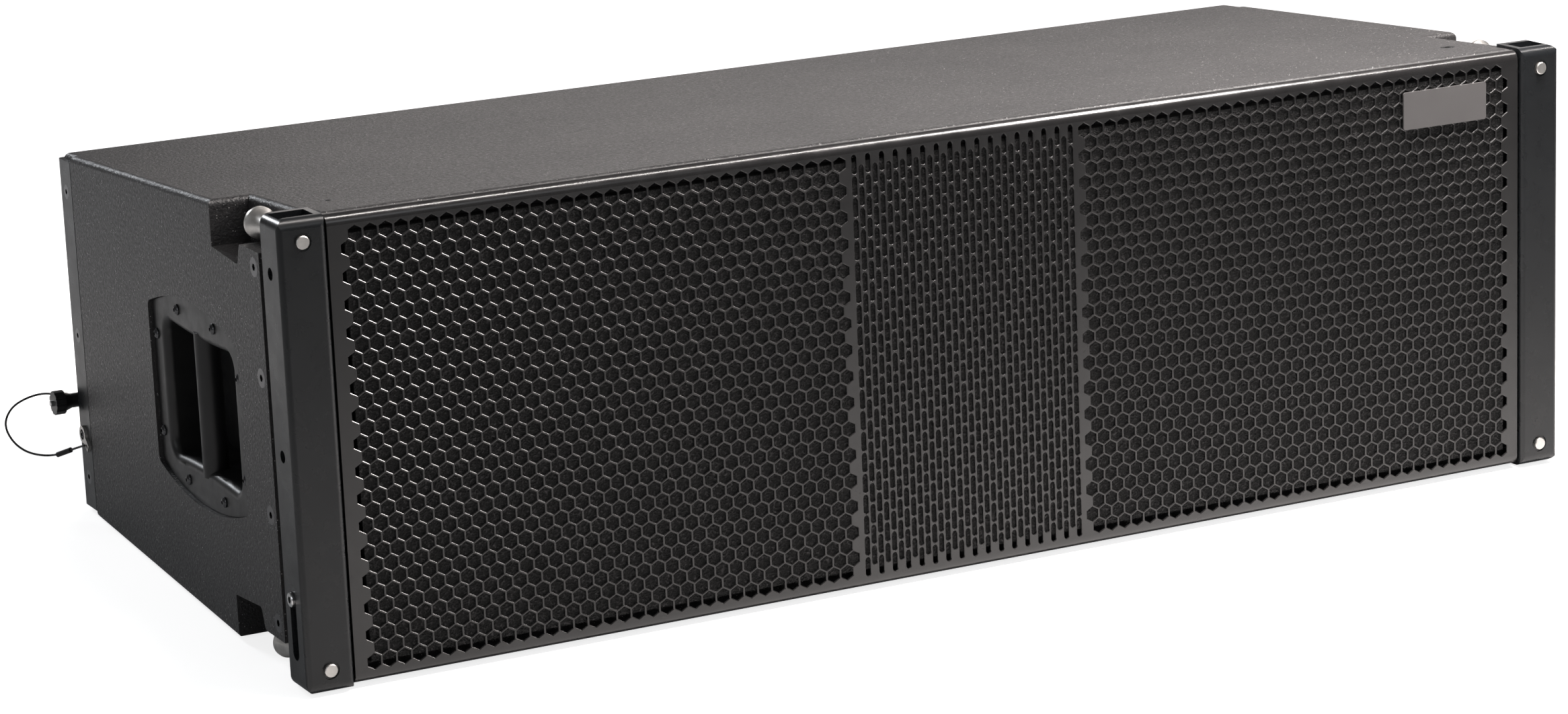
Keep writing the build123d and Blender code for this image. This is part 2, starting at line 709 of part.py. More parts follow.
for side, s in SIDES:
    post_centre = (s * POST_X, FRONT + POST_DEPTH / 2)
    with BuildPart() as post:
        with BuildSketch():
            with Locations(post_centre):
                Rectangle(POST_WIDTH, POST_DEPTH)
            fillet(vertices().group_by(Axis.Y)[0], radius=4)
        extrude(amount=FRONT_HEIGHT)
        # Rounded outer corners, and the bends over the front's ends
        with BuildSketch(Plane(origin=(0, FRONT, 0), x_dir=(1, 0, 0), z_dir=(0, -1, 0))):
            with Locations((s * POST_X, MID)):
                Rectangle(POST_WIDTH, FRONT_HEIGHT)
            fillet(vertices().group_by(Axis.X)[-1 if s > 0 else 0], radius=8)
        extrude(amount=-POST_DEPTH, mode=Mode.INTERSECT)
        with BuildSketch(Plane.YZ.offset(s * POST_X)):
            with Locations((FRONT + POST_DEPTH / 2, MID)):
                Rectangle(POST_DEPTH, FRONT_HEIGHT)
            fillet(vertices().group_by(Axis.X)[0], radius=TOP_BEND)
        extrude(amount=POST_WIDTH / 2, both=True, mode=Mode.INTERSECT)
        with BuildSketch():
            with Locations((s * POST_X, FRONT + (POST_FRONT_WALL + POST_DEPTH - POST_WALL) / 2)):
                Rectangle(
                    POST_WIDTH - 2 * POST_WALL, POST_DEPTH - POST_WALL - POST_FRONT_WALL
                )
        extrude(amount=FRONT_HEIGHT, mode=Mode.SUBTRACT)
        for _, e in ENDS:
            with BuildSketch(facing_front(s * POST_X, 0, e * LOCK_HEIGHT)):
                Circle(7)
            extrude(amount=-1, mode=Mode.SUBTRACT)
            with BuildSketch(facing_front(s * POST_X, 0, e * LOCK_HEIGHT)):
                Circle(LOCK_RADIUS + RUNNING)
            extrude(amount=-POST_FRONT_WALL, mode=Mode.SUBTRACT)
            with BuildSketch(facing_front(s * POST_X, POST_DEPTH, e * LOCK_HEIGHT)):
                Circle(6.55)
            extrude(amount=POST_WALL, mode=Mode.SUBTRACT)
        # Link slot and the two bolt holes in the outer wall
        with BuildSketch(facing_side(s, HALF, 20, GUIDE_HEIGHT - LINK_TRAVEL / 2)):
            SlotCenterToCenter(LINK_TRAVEL, 12, rotation=90)
        extrude(amount=-POST_WALL, mode=Mode.SUBTRACT)
        with BuildSketch(facing_side(s, HALF, 20, 0)):
            Circle(4.75)
            with Locations((0, 136)):
                Circle(4.75)
        extrude(amount=-POST_WALL, mode=Mode.SUBTRACT)
    save(post, f"{side}_front_post")

    # Link bar: its slot rides on the bottom locking pin, and its end reaches the cabinet below
    link_centre = -LOCK_HEIGHT + LINK_TRAVEL / 2
    with BuildPart() as link:
        with BuildSketch(facing_front(s * POST_X, 25, 0)):
            with Locations((0, -(175.4 + 90) / 2)):
                Rectangle(22, 175.4 - 90)
            fillet(vertices().group_by(Axis.Y)[0], radius=8)
            with Locations((0, link_centre)):
                SlotCenterToCenter(LINK_TRAVEL, 10.8, rotation=90, mode=Mode.SUBTRACT)
        extrude(amount=10)
        with BuildSketch(facing_side(s, POST_X + 11, 20, GUIDE_HEIGHT)):
            Circle(3)
        extrude(amount=-9, mode=Mode.SUBTRACT)
    save(link, f"{side}_front_link")

    with BuildPart() as guide:
        with BuildSketch(facing_side(s, POST_X + 11, 20, GUIDE_HEIGHT)):
            Circle(3)
        extrude(amount=-9)
        with BuildSketch(facing_side(s, POST_X + 11, 20, GUIDE_HEIGHT)):
            Circle(5.5)
        extrude(amount=10)
        with BuildSketch(facing_side(s, POST_X + 21, 20, GUIDE_HEIGHT)):
            RegularPolygon(radius=2.9, side_count=6)
        extrude(amount=-4, mode=Mode.SUBTRACT)
        chamfer(guide.edges().filter_by(GeomType.CIRCLE).sort_by(Axis.X)[-1 if s > 0 else 0], 0.6)
    save(guide, f"{side}_link_guide")

    for end, e in ENDS:
        pin_origin = (s * POST_X, FRONT, MID + e * LOCK_HEIGHT)
        pin_plane = Plane(origin=pin_origin, x_dir=(1, 0, 0), z_dir=(0, 0, 1))
        pin_axis = Axis(pin_origin, (0, 1, 0))
        with BuildPart() as locking_pin:
            with BuildSketch(pin_plane):
                with BuildLine():
                    Polyline(
                        (0, -PIN_PROUD), (4.4, -PIN_PROUD), (LOCK_RADIUS, 0.6 - PIN_PROUD),
                        (LOCK_RADIUS, 39), (3, 39), (3, 77), (6.8, 77), (6.8, 62), (7.6, 62),
                    )
                    ThreePointArc((7.6, 62), (8.8, 75), (KNOB_RADIUS, 83))
                    Polyline(
                        (KNOB_RADIUS, 83), (KNOB_RADIUS, 86), (KNOB_RADIUS - 1, 87), (0, 87),
                        (0, -PIN_PROUD),
                    )
                make_face()
            revolve(axis=pin_axis)
        save(locking_pin, f"{side}_{end}_locking_pin")

        with BuildPart() as pin_spring:
            coil = Helix(
                pitch=5.2,
                height=31.2,
                radius=4.0,
                center=(s * POST_X, FRONT + 39.8, MID + e * LOCK_HEIGHT),
                direction=(0, 1, 0),
            )
            with BuildSketch(Plane(origin=coil @ 0, z_dir=coil % 0)):
                Circle(0.45)
            sweep(path=coil, is_frenet=True)
        save(pin_spring, f"{side}_{end}_pin_spring")

with BuildPart() as pin_housings:
    for _, s in SIDES:
        for _, e in ENDS:
            housing_origin = (s * POST_X, FRONT, MID + e * LOCK_HEIGHT)
            with BuildSketch(Plane(origin=housing_origin, x_dir=(1, 0, 0), z_dir=(0, 0, 1))):
                with BuildLine():
                    Polyline(
                        (5.05, 30), (6.5, 30), (6.5, 75), (3.08, 75), (3.08, 72.5),
                        (5.05, 72.5), close=True,
                    )
                make_face()
            revolve(axis=Axis(housing_origin, (0, 1, 0)))
save(pin_housings, "pin_housings")

# ---- Rear rigging: angles with ears, link arms, pivots and quick-release pins ----------------

for side, s in SIDES:
    with BuildPart() as rear_angle:
        with BuildSketch(Plane.XY.offset(MID - ANGLE_HALF_HEIGHT)):
            with BuildLine():
                Polyline(
                    (s * (HALF - STEEL), FRONT + ANGLE_START),
                    (s * HALF, FRONT + ANGLE_START),
                    (s * HALF, FRONT + CABINET_DEPTH),
                    (s * 500, FRONT + CABINET_DEPTH),
                    (s * 500, FRONT + WOOD_BACK),
                    (s * (HALF - STEEL), FRONT + WOOD_BACK),
                    close=True,
                )
            make_face()
        extrude(amount=2 * ANGLE_HALF_HEIGHT)
        corner = (s * HALF, FRONT + CABINET_DEPTH, MID)
        fillet(rear_angle.edges().filter_by(Axis.Z).sort_by_distance(corner)[0], radius=3)
        for x in (EAR_INNER, EAR_OUTER - 5):
            with BuildSketch(Plane.YZ.offset(s * x)):
                with Locations((FRONT + CABINET_DEPTH, MID + (QUICK_HEIGHT + PIVOT_HEIGHT) / 2)):
                    Rectangle(38, 208, align=(Align.MIN, Align.CENTER))
                fillet(vertices().group_by(Axis.X)[-1], radius=10)
                with Locations(
                    (FRONT + EAR_AXIS, MID + PIVOT_HEIGHT), (FRONT + EAR_AXIS, MID + QUICK_HEIGHT)
                ):
                    Circle(LOCK_RADIUS + RUNNING, mode=Mode.SUBTRACT)
            extrude(amount=s * 5)
        with Locations(*[p for p in angle_screw_planes if p.z_dir.X * s > 0]):
            countersink(3.1, 6.1, 6.0)
        with Locations(*[p for p in lug_screw_planes if p.z_dir.X * s > 0]):
            Hole(radius=2.1, depth=6)
    save(rear_angle, f"{side}_rear_angle")

    with BuildPart() as link_arm:
        with BuildSketch(Plane.YZ.offset(s * 529.5)):
            with Locations((FRONT + EAR_AXIS, MID + PIVOT_HEIGHT - ARM_REACH / 2)):
                SlotCenterToCenter(ARM_REACH, 26, rotation=90)
            with Locations((FRONT + EAR_AXIS, MID + PIVOT_HEIGHT)):
                Circle(LOCK_RADIUS + 0.08, mode=Mode.SUBTRACT)
            for k in range(4):
                with Locations((FRONT + EAR_AXIS, MID + PIVOT_HEIGHT - ARM_REACH + 20 * k)):
                    Circle(LOCK_RADIUS + RUNNING, mode=Mode.SUBTRACT)
        extrude(amount=s * 12)
    save(link_arm, f"{side}_rear_link_arm")

    quick_axis_plane = facing_side(s, 0, EAR_AXIS, QUICK_HEIGHT)
    with BuildPart() as quick_pin:
        with BuildSketch(quick_axis_plane.offset(518)):
            Circle(LOCK_RADIUS)
        extrude(amount=48)
        with BuildSketch(quick_axis_plane.offset(EAR_OUTER + 0.3)):
            Circle(6)
        extrude(amount=20)
        with BuildSketch(quick_axis_plane.offset(565)):
            Circle(6)
        with BuildSketch(quick_axis_plane.offset(572)):
            Circle(8.5)
        loft()
        with BuildSketch(quick_axis_plane.offset(571.5)):
            Circle(10)
            with PolarLocations(10.3, 12):
                Circle(1.1, mode=Mode.SUBTRACT)
        extrude(amount=8.5)
        with BuildSketch(quick_axis_plane.offset(580)):
            Circle(2.55)
        extrude(amount=-7, mode=Mode.SUBTRACT)
        # Ear that the lanyard is crimped to
        with BuildSketch(quick_axis_plane.offset(566.5)):
            with Locations((s * 10, 0)):
                Rectangle(14, 7)
        extrude(amount=4)
    save(quick_pin, f"{side}_quick_pin")

    with BuildPart() as pin_button:
        with BuildSketch(quick_axis_plane.offset(578)):
            Circle(2.5)
        extrude(amount=5)
        chamfer(pin_button.edges().sort_by(Axis.X)[-1 if s > 0 else 0], 0.6)
    save(pin_button, f"{side}_pin_button")

with BuildPart() as rear_pivots:
    for _, s in SIDES:
        pivot_plane = facing_side(s, 0, EAR_AXIS, PIVOT_HEIGHT)
        with BuildSketch(pivot_plane.offset(519)):
            Circle(LOCK_RADIUS)
        extrude(amount=32)
        with BuildSketch(pivot_plane.offset(EAR_OUTER)):
            Circle(9)
        extrude(amount=5)
        with BuildSketch(pivot_plane.offset(EAR_INNER)):
            RegularPolygon(radius=9, side_count=6)
        extrude(amount=-6)
save(rear_pivots, "rear_pivots")

# ---- Lanyards -------------------------------------------------------------------------------

with BuildPart() as lanyard_lugs:
    for _, s in SIDES:
        with BuildSketch(facing_side(s, HALF, 487, -84)):
            Circle(7.2)
            with Locations(Location((-s * 7, -5.6), 38.7 * s)):
                Rectangle(14, 7)
            Circle(4.5, mode=Mode.SUBTRACT)
            with Locations((-s * 10.4, -8.3)):
                Circle(1.6, mode=Mode.SUBTRACT)
        extrude(amount=2.4)
save(lanyard_lugs, "lanyard_lugs")

# Route of the wire from the pin's ear, out, round and back to the lug: distance from the
# cabinet's centre, depth behind the post faces and height from mid-height
LANYARD_ROUTE = [
    (568.5, 535.3, -62.0),
    (568.5, 546.0, -61.8),
    (578.0, 556.0, -61.7),
    (591.0, LOOP_REACH, -65.0),
    (603.0, LOOP_REACH, -70.5),
    (611.0, 556.0, -80.0),
    (612.0, 550.0, -89.0),
    (607.0, 543.0, -99.5),
    (597.5, 534.5, -106.5),
    (583.0, 520.5, -107.5),
    (570.8, 497.5, -97.5),
    (568.33, 480.5, -91.8),
]


def corner_radii(points):
    """Largest radius that each corner's two runs allow: 0.45 of the shorter run."""
    radii = []
    for a, b, c in zip(points, points[1:], points[2:]):
        before = b - a
        after = c - b
        turn = before.get_angle(after) * pi / 180
        radii.append(0.45 * min(before.length, after.length) / tan(turn / 2))
    return radii


for side, s in SIDES:
    route = [Vector(s * x, FRONT + y, MID + z) for x, y, z in LANYARD_ROUTE]
    radii = corner_radii(route)
    with BuildPart() as lanyard:
        with BuildLine() as wire_path:
            FilletPolyline(*route, radius=radii)
        with BuildSketch(Plane(origin=route[0], z_dir=route[1] - route[0])):
            Circle(WIRE_RADIUS)
        sweep(path=wire_path.wires()[0])
    save(lanyard, f"{side}_lanyard")
    length = wire_path.wires()[0].length
    section = pi * WIRE_RADIUS**2
    print(side, "lanyard: radii", [round(r, 1) for r in radii], "length", round(length, 1))
    print("   volume over section times length", round(lanyard.part.volume / section / length, 4))

with BuildPart() as lanyard_sleeves:
    for _, s in SIDES:
        ends = [Vector(s * x, FRONT + y, MID + z) for x, y, z in LANYARD_ROUTE[9:11]]
        along = ends[1] - ends[0]
        sleeve_length = 0.6 * along.length
        with BuildSketch(Plane(origin=ends[0] + along * 0.2, z_dir=along)):
            Circle(2.2)
            Circle(WIRE_RADIUS + 0.15, mode=Mode.SUBTRACT)
        extrude(amount=sleeve_length)
save(lanyard_sleeves, "lanyard_sleeves")
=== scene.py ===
import math

import bmesh
import bpy
from mathutils import Matrix, Vector, geometry


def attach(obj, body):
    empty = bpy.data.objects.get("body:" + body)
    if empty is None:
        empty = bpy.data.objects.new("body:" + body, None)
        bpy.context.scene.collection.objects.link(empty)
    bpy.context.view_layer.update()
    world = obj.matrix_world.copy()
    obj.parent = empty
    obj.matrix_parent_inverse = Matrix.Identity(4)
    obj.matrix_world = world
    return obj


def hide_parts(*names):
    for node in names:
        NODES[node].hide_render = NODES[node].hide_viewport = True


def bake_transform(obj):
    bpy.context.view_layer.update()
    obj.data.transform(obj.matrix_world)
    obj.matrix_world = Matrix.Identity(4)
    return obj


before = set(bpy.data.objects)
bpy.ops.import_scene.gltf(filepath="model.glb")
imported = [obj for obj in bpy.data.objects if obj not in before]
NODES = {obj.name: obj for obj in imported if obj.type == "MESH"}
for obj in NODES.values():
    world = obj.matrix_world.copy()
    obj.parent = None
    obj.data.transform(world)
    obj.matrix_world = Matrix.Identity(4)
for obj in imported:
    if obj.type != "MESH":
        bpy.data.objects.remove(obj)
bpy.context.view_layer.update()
SCENE = bpy.context.scene
SCENE.view_settings.view_transform = "Standard"

# Millimetres behind the post faces and above mid-height, as in the CAD source, into metres
FRONT = -0.268
MID = 0.178


def at(x, y, z):
    """Point from millimetres: across, behind the post faces, above mid-height."""
    return Vector((x / 1000, FRONT + y / 1000, MID + z / 1000))


# ---- Camera -------------------------------------------------------------------------------

AZIMUTH, ELEVATION, ROLL = (math.radians(a) for a in (-26.94, 13.78, -2.29))
CAMERA_PLACE = (-1.6143, -3.1213, 0.9825)
SENSOR_WIDTH = 36.0
FOCAL_LENGTH = 99.38465
FAR_CLIP = 50.0

back = Vector(
    (
        math.sin(AZIMUTH) * math.cos(ELEVATION),
        -math.cos(AZIMUTH) * math.cos(ELEVATION),
        math.sin(ELEVATION),
    )
)
level = (-back).cross(Vector((0, 0, 1))).normalized()
upright = level.cross(-back)
right = level * math.cos(ROLL) + upright * math.sin(ROLL)
up = -level * math.sin(ROLL) + upright * math.cos(ROLL)
camera = bpy.data.objects.new("camera", bpy.data.cameras.new("camera"))
SCENE.collection.objects.link(camera)
camera.data.sensor_width = SENSOR_WIDTH
camera.data.lens = FOCAL_LENGTH
camera.data.clip_end = FAR_CLIP
facing = Matrix((right, up, back)).transposed().to_4x4()
camera.matrix_world = Matrix.Translation(CAMERA_PLACE) @ facing
SCENE.camera = camera

# ---- Node helpers ---------------------------------------------------------------------------


def material(name, color, rough, metallic=0.0, specular=0.5):
    """A Principled material: returns (material, node tree, shader, object coordinates)."""
    m = bpy.data.materials.new(name)
    m.use_nodes = True
    tree = m.node_tree
    shader = tree.nodes["Principled BSDF"]
    shader.inputs["Base Color"].default_value = (*color, 1)
    shader.inputs["Roughness"].default_value = rough
    shader.inputs["Metallic"].default_value = metallic
    shader.inputs["Specular IOR Level"].default_value = specular
    where = tree.nodes.new("ShaderNodeTexCoord").outputs["Object"]
    return m, tree, shader, where


def noise(tree, where, scale, detail=2.0, rough=0.5, stretch=None):
    """A noise texture at that many features a metre, squeezed along each axis by stretch."""
    if stretch:
        mapping = tree.nodes.new("ShaderNodeMapping")
        mapping.inputs["Scale"].default_value = stretch
        tree.links.new(where, mapping.inputs["Vector"])
        where = mapping.outputs["Vector"]
    n = tree.nodes.new("ShaderNodeTexNoise")
    n.inputs["Scale"].default_value = scale
    n.inputs["Detail"].default_value = detail
    n.inputs["Roughness"].default_value = rough
    tree.links.new(where, n.inputs["Vector"])
    return n.outputs["Fac"]


def cells(tree, where, scale, feature="F1"):
    """A Voronoi distance texture."""
    v = tree.nodes.new("ShaderNodeTexVoronoi")
    v.feature = feature
    v.inputs["Scale"].default_value = scale
    tree.links.new(where, v.inputs["Vector"])
    return v.outputs["Distance"]


def ramp(tree, value, stops):
    """Colour ramp from (position, colour) pairs; a colour may be a single grey."""
    r = tree.nodes.new("ShaderNodeValToRGB")
    elements = r.color_ramp.elements
    while len(elements) < len(stops):
        elements.new(0.5)
    for element, (position, color) in zip(elements, stops):
        element.position = position
        if isinstance(color, (int, float)):
            color = (color, color, color)
        element.color = (*color, 1)
    tree.links.new(value, r.inputs["Fac"])
    return r.outputs["Color"]


def arithmetic(tree, operation, a, b):
    """One math node; either side may be a number."""
    n = tree.nodes.new("ShaderNodeMath")
    n.operation = operation
    for socket, value in zip(n.inputs, (a, b)):
        if isinstance(value, (int, float)):
            socket.default_value = value
        else:
            tree.links.new(value, socket)
    return n.outputs["Value"]


def bump(tree, shader, height, strength, distance):
    """Bump the shader's normal by a height, over that many metres."""
    b = tree.nodes.new("ShaderNodeBump")
    b.inputs["Strength"].default_value = strength
    b.inputs["Distance"].default_value = distance
    tree.links.new(height, b.inputs["Height"])
    tree.links.new(b.outputs["Normal"], shader.inputs["Normal"])


def mixed(tree, factor, low, high, shader_input):
    """Blend two greys or colours over a factor into a shader input, through a ramp."""
    tree.links.new(ramp(tree, factor, [(0.3, low), (0.7, high)]), shader_input)


# ---- Materials ------------------------------------------------------------------------------

# Which paint grains are painted pale as glints, painted highlights in the base colour: the size of
# the pale dot in its cell, and the noise level it needs
PAINTED_GLINT_SIZE = 0.15
PAINTED_GLINT_LEVEL = 0.54


def textured_paint(name, dark, light, spark, grain, depth, rough):
    """Sprayed, pebbled paint: rounded grains, hollows painted darker as shade, and a few grains
    painted pale as glints (painted highlights).
    """
    m, tree, shader, where = material(name, dark, rough[0])
    grains = cells(tree, where, grain, "SMOOTH_F1")
    speckle = noise(tree, where, grain * 1.7, 3)
    patches = noise(tree, where, 9, 3)
    # The speckle that raises the bump also lightens the colour, so the hollows are painted darker
    # as shade; the patches vary the tone at random
    hollow_shade_and_tone = arithmetic(tree, "MULTIPLY", speckle, arithmetic(tree, "ADD", patches, 0.5))
    # Tiny dots on some grains, painted pale in the base colour as glints
    painted_glint_spots = arithmetic(tree, "LESS_THAN", cells(tree, where, grain * 0.9), PAINTED_GLINT_SIZE)
    chosen = arithmetic(tree, "GREATER_THAN", noise(tree, where, grain * 0.5, 2), PAINTED_GLINT_LEVEL)
    painted_glint = arithmetic(tree, "MULTIPLY", painted_glint_spots, chosen)
    tone = arithmetic(tree, "ADD", arithmetic(tree, "MULTIPLY", hollow_shade_and_tone, 0.6), painted_glint)
    # The pale spark colour on the chosen grains is a painted highlight: glints painted into the
    # base colour
    stops = [(0.2, dark), (0.45, light), (0.7, light), (1.0, spark)]
    tree.links.new(ramp(tree, tone, stops), shader.inputs["Base Color"])
    mixed(tree, noise(tree, where, grain * 0.8, 2), rough[0], rough[1], shader.inputs["Roughness"])
    height = arithmetic(tree, "ADD", arithmetic(tree, "MULTIPLY", grains, -1.0), speckle)
    bump(tree, shader, height, 0.9, depth)
    return m


def powder_coat(name, color, rough, grain=1400, depth=0.00006, variation=1.35, specular=0.5):
    """Smooth powder coat with faint orange peel."""
    m, tree, shader, where = material(name, color, rough, specular=specular)
    light = tuple(c * variation for c in color)
    mixed(tree, noise(tree, where, 14, 4), color, light, shader.inputs["Base Color"])
    mixed(tree, noise(tree, where, 60, 3), rough - 0.04, rough + 0.06, shader.inputs["Roughness"])
    bump(tree, shader, noise(tree, where, grain, 2), 0.5, depth)
    return m


def turned_metal(name, color, rough, stretch=(1, 1, 1)):
    """Bright metal with fine machining marks, closer together along the stretched axes."""
    m, tree, shader, where = material(name, color, rough, metallic=1.0)
    marks = noise(tree, where, 900, 3, 0.6, stretch)
    dull = tuple(c * 0.78 for c in color)
    mixed(tree, noise(tree, where, 120, 4), dull, color, shader.inputs["Base Color"])
    mixed(tree, marks, rough - 0.06, rough + 0.1, shader.inputs["Roughness"])
    bump(tree, shader, marks, 0.5, 0.00003)
    return m


def moulded(name, color, rough, grain=2200):
    """Moulded plastic with a fine spark-eroded grain."""
    m, tree, shader, where = material(name, color, rough)
    light = tuple(c * 1.3 for c in color)
    mixed(tree, noise(tree, where, 40, 4), color, light, shader.inputs["Base Color"])
    mixed(tree, noise(tree, where, 90, 3), rough - 0.05, rough + 0.05, shader.inputs["Roughness"])
    bump(tree, shader, noise(tree, where, grain, 2), 0.6, 0.00005)
    return m


def cloth(name, dark, light, pitch):
    """Woven cloth from two crossed sine bands."""
    m, tree, shader, where = material(name, dark, 0.9)
    waves = []
    for axis in ("X", "Z"):
        w = tree.nodes.new("ShaderNodeTexWave")
        w.bands_direction = axis
        w.inputs["Scale"].default_value = pitch
        tree.links.new(where, w.inputs["Vector"])
        waves.append(w.outputs["Fac"])
    weave = arithmetic(tree, "MULTIPLY", *waves)
    mixed(tree, weave, dark, light, shader.inputs["Base Color"])
    bump(tree, shader, weave, 0.5, 0.0002)
    return m


def open_foam(name):
    """Open-cell foam: the cell pattern is the foam's structure; the pores are painted dark as the
    shade inside the open cells, the strands between them paler.
    """
    m, tree, shader, where = material(name, (0.006, 0.006, 0.006), 0.7, specular=0.4)
    pores = cells(tree, where, 620)
    pore_shade_mask = arithmetic(tree, "MULTIPLY", pores, noise(tree, where, 300, 3))
    # The darkness of the pores in the base colour is painted shade, not the foam's own colour
    mixed(tree, pore_shade_mask, (0.004, 0.004, 0.004), (0.085, 0.08, 0.082), shader.inputs["Base Color"])
    bump(tree, shader, arithmetic(tree, "ADD", pores, noise(tree, where, 900, 3)), 1.0, 0.0012)
    return m


PAINT = textured_paint(
    "cabinet_paint",
    dark=(0.021, 0.0205, 0.0215),
    light=(0.043, 0.0415, 0.042),
    # spark: the colour of the painted glints, pale dots painted in as highlights
    spark=(0.60, 0.59, 0.58),
    grain=480,
    depth=0.0004,
    rough=(0.30, 0.52),
)
INNER = powder_coat("inner_black", (0.010, 0.010, 0.010), 0.75, 500, 0.0002)
STEEL = powder_coat("rigging_steel", (0.010, 0.0112, 0.0125), 0.28, 1400, 0.00004)
GRILLE = powder_coat("grille_steel", (0.014, 0.0135, 0.0137), 0.22, 1800, 0.00002, specular=0.8)
HANDLE = moulded("handle_black", (0.012, 0.012, 0.0125), 0.38)
GRIP = powder_coat("grip_black", (0.010, 0.010, 0.011), 0.42)
FOAM = open_foam("foam")
BADGE = powder_coat("badge", (0.13, 0.125, 0.125), 0.33, 2500, 0.00002, variation=1.12)
SCREW = turned_metal("screw_black", (0.13, 0.13, 0.135), 0.20)
PIN = turned_metal("pin_steel", (0.80, 0.78, 0.75), 0.38, (1, 6, 1))
BRIGHT = turned_metal("bright", (0.80, 0.80, 0.80), 0.16)
QUICK = powder_coat("quick_pin_black", (0.010, 0.010, 0.011), 0.34)
CASTING = powder_coat("basket_casting", (0.02, 0.02, 0.021), 0.5, 700, 0.0002)
MAGNET = turned_metal("magnet", (0.16, 0.16, 0.165), 0.45)
CONE = textured_paint(
    "cone_paper",
    dark=(0.012, 0.012, 0.012),
    light=(0.022, 0.021, 0.020),
    # spark: the colour of the painted glints, pale dots painted in as highlights
    spark=(0.06, 0.06, 0.06),
    grain=900,
    depth=0.0003,
    rough=(0.6, 0.8),
)
RUBBER = moulded("surround_rubber", (0.008, 0.008, 0.008), 0.55, 1200)
SPIDER = cloth("spider_cloth", (0.20, 0.14, 0.06), (0.42, 0.32, 0.16), 260)
HORN = moulded("horn_black", (0.012, 0.012, 0.012), 0.42)
CIRCUIT = moulded("circuit_board", (0.02, 0.08, 0.04), 0.35)
SOCKET = moulded("socket_blue_black", (0.012, 0.016, 0.028), 0.40)
WIRE = moulded("wire_black", (0.010, 0.010, 0.010), 0.35, 3000)
SLEEVE = moulded("sleeve_black", (0.010, 0.010, 0.010), 0.55, 2600)

# Material of each node, by the ending of its name; the first ending that fits is taken
LOOKS = {
    "panel": PAINT,
    "front_baffle": INNER,
    "dividers": INNER,
    "grille_foam": FOAM,
    "badge_plate": BADGE,
    "woofer_basket": CASTING,
    "woofer_magnet": MAGNET,
    "hf_drivers": MAGNET,
    "woofer_cone": CONE,
    "woofer_surround": RUBBER,
    "woofer_spider": SPIDER,
    "hf_waveguide": HORN,
    "crossover_board": CIRCUIT,
    "input_plate": STEEL,
    "input_sockets": SOCKET,
    "handle_cup": HANDLE,
    "handle_grip": GRIP,
    "front_post": STEEL,
    "front_link": STEEL,
    "rear_angle": STEEL,
    "rear_link_arm": STEEL,
    "screws": SCREW,
    "rear_pivots": SCREW,
    "locking_pin": PIN,
    "pin_housings": PIN,
    "pin_spring": PIN,
    "lanyard_lugs": PIN,
    "link_guide": BRIGHT,
    "pin_button": BRIGHT,
    "quick_pin": QUICK,
    "sleeves": SLEEVE,
    "lanyard": WIRE,
    "grille": GRILLE,
}

for name, obj in NODES.items():
    key = next(k for k in LOOKS if name.endswith(k))
    obj.data.materials.clear()
    obj.data.materials.append(LOOKS[key])


def link(mesh, name, look):
    """A new object from a mesh, with its material."""
    obj = bpy.data.objects.new(name, mesh)
    SCENE.collection.objects.link(obj)
    mesh.materials.clear()
    mesh.materials.append(look)
    return obj


# ---- Lanyards -------------------------------------------------------------------------------

WIRE_DIAMETER = 0.0018
# From the right quick-release pin's ear, out, round and back to the lug on the rear angle
LANYARD_ROUTE = [
    (568.5, 535.3, -62.0),
    (568.5, 546.0, -61.8),
    (578.0, 556.0, -61.7),
    (591.0, 560.0, -65.0),
    (603.0, 560.0, -70.5),
    (611.0, 556.0, -80.0),
    (612.0, 550.0, -89.0),
    (607.0, 543.0, -99.5),
    (597.5, 534.5, -106.5),
    (583.0, 520.5, -107.5),
    (570.8, 497.5, -97.5),
    (568.33, 480.5, -91.8),
]


def spline(points, radius):
    """A smooth curve object through the route, with a round section of that radius."""
    curve = bpy.data.curves.new("route", "CURVE")
    curve.dimensions = "3D"
    curve.resolution_u = 12
    s = curve.splines.new("NURBS")
    s.points.add(len(points) - 1)
    for p, co in zip(s.points, points):
        p.co = (*co, 1)
    s.order_u = 3
    s.use_endpoint_u = True
    curve.bevel_depth = radius
    curve.bevel_resolution = 4
    curve.use_fill_caps = True
    return bpy.data.objects.new("route", curve)


def tube(points, radius):
    """A mesh tube along the smooth curve through the route; a bare line at no radius."""
    obj = spline(points, radius)
    SCENE.collection.objects.link(obj)
    bpy.context.view_layer.update()
    graph = bpy.context.evaluated_depsgraph_get()
    mesh = bpy.data.meshes.new_from_object(obj.evaluated_get(graph))
    bpy.data.objects.remove(obj)
    for p in mesh.polygons:
        p.use_smooth = True
    return mesh


def centreline(points):
    """The points that the same curve follows."""
    return [v.co.copy() for v in tube(points, 0).vertices]


for side, s in (("left", -1), ("right", 1)):
    route = [at(s * x, y, z) for x, y, z in LANYARD_ROUTE]
    wire = link(tube(route, WIRE_DIAMETER / 2), f"{side}_wire", WIRE)
    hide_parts(f"{side}_lanyard")
    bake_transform(wire)
    centreline(route)

# ---- Perforated grille ------------------------------------------------------------------------

# The folded sheet, in millimetres
FACE_Y = 3.5
HALF_W, HALF_H = 526.0, 176.5
SHEET = 1.5
BEND = 7.95
BEND_STEPS = 8
FLANGE = 8.0
# The hexagonal holes left and right
PITCH = 12.0
ROW = PITCH * math.sqrt(3) / 2
ROWS = 32
PER_ROW = 34
HEX_FLAT = 10.3
HEX_OUTER = 510.5
# The slots between them, in staggered columns
SLOT_WIDTH, SLOT_HEIGHT = 4.2, 15.3
SLOT_COLUMNS_EACH_SIDE = 16
SLOT_COLUMN_PITCH = 6.0
SLOT_PITCH = 16.8
SLOTS_PER_COLUMN = 20
SLOT_END_STEPS = 4
